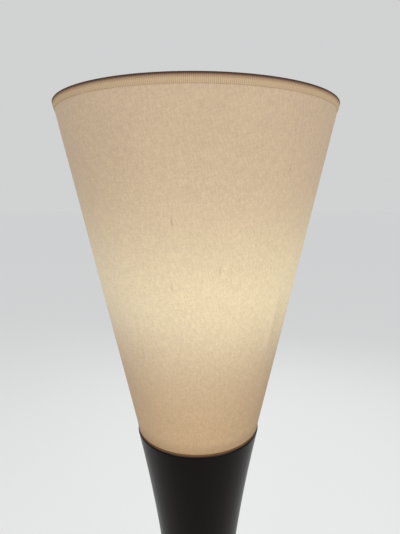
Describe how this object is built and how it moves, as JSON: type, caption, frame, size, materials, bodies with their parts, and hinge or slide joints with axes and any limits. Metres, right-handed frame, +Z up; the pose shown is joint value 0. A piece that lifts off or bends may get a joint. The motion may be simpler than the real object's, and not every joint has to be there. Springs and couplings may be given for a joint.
{
  "type": "torchiere floor lamp",
  "caption": "Tall floor lamp: a dark hourglass-shaped metal body under an upward-flaring linen drum cone shade on a harp, with a screw-in bulb and turn-knob socket.",
  "frame": {"origin": "on the floor under the lamp's vertical axis", "axes": "+Z up; -Y is the front; the cord inlet is at +Y; the harp lies in the vertical plane from -X+Y to +X-Y"},
  "size_m": [0.356, 0.356, 1.6035],
  "materials": {
    "lacquer": "satin dark bronze",
    "steel": "zinc plated",
    "black_steel": "matt black",
    "iron": "rough cast",
    "brass": "satin",
    "rubber": "matt",
    "black_plastic": "moulded",
    "white_plastic": "moulded",
    "fibre": "pressed fibre",
    "glass": "frosted, lit",
    "clear_glass": "clear",
    "tungsten": "glowing",
    "linen": "slubbed plain weave",
    "linen_tape": "ribbed",
    "styrene": "white liner"
  },
  "bodies": {
    "stand": {"floor_pads": "rubber", "base_plate": "black_steel", "base_screws": "steel", "base_weight": "iron", "bottom_washer": "steel", "bottom_nut": "steel", "cord_bushing": "black_plastic", "lower_body": "lacquer", "waist_collar": "lacquer", "upper_body": "lacquer", "top_plate": "lacquer", "top_washer": "steel", "top_nut": "steel", "lower_pipe": "steel", "pipe_coupling": "steel", "upper_pipe": "steel", "riser_cap": "brass", "riser_tube": "brass", "harp_saddle": "steel", "socket_cap": "brass", "socket_set_screw": "steel", "socket_shell": "brass", "socket_sleeve": "fibre", "socket_core": "black_plastic", "screw_shell": "brass", "centre_contact": "brass", "terminal_screws": "brass"},
    "switch": {"switch_spindle": "brass", "switch_rotor": "white_plastic", "switch_knob": "black_plastic"},
    "bulb": {"bulb_glass": "glass", "bulb_cap": "steel", "bulb_insulator": "black_plastic", "bulb_tip": "steel", "bulb_stem": "clear_glass", "bulb_filament": "tungsten"},
    "harp": {"harp_bow": "brass", "harp_eye": "brass"},
    "ferrule_left": {"ferrule_left": "brass"},
    "ferrule_right": {"ferrule_right": "brass"},
    "harp_stud": {"harp_stud": "brass"},
    "shade": {"shade_fabric": "linen", "shade_liner": "styrene", "shade_top_ring": "steel", "shade_bottom_ring": "steel", "shade_top_trim": "linen_tape", "shade_bottom_hem": "linen", "spider_arms": "steel", "spider_washer": "steel"},
    "finial": {"finial": "brass"}
  },
  "joints": [
    {"name": "switch_turn", "type": "hinge", "parent": "stand", "child": "switch", "pos_m": [0, 0, 1.299], "axis": [0.7071, 0.7071, 0], "continuous": true},
    {"name": "bulb_unscrew", "type": "slide", "parent": "stand", "child": "bulb", "axis": [0, 0, 1], "range_m": [0, 0.03]},
    {"name": "harp_lift", "type": "slide", "parent": "stand", "child": "harp", "axis": [0, 0, 1], "range_m": [0, 0.016]},
    {"name": "ferrule_left_lift", "type": "slide", "parent": "harp", "child": "ferrule_left", "axis": [0, 0, 1], "range_m": [0, 0.02]},
    {"name": "ferrule_right_lift", "type": "slide", "parent": "harp", "child": "ferrule_right", "axis": [0, 0, 1], "range_m": [0, 0.02]},
    {"name": "stud_swivel", "type": "hinge", "parent": "harp", "child": "harp_stud", "pos_m": [0, 0, 1.5665], "axis": [0, 0, 1], "continuous": true},
    {"name": "shade_lift", "type": "slide", "parent": "harp_stud", "child": "shade", "axis": [0, 0, 1], "range_m": [0, 0.42]},
    {"name": "finial_unscrew", "type": "slide", "parent": "shade", "child": "finial", "axis": [0, 0, 1], "range_m": [0, 0.02]}
  ]
}
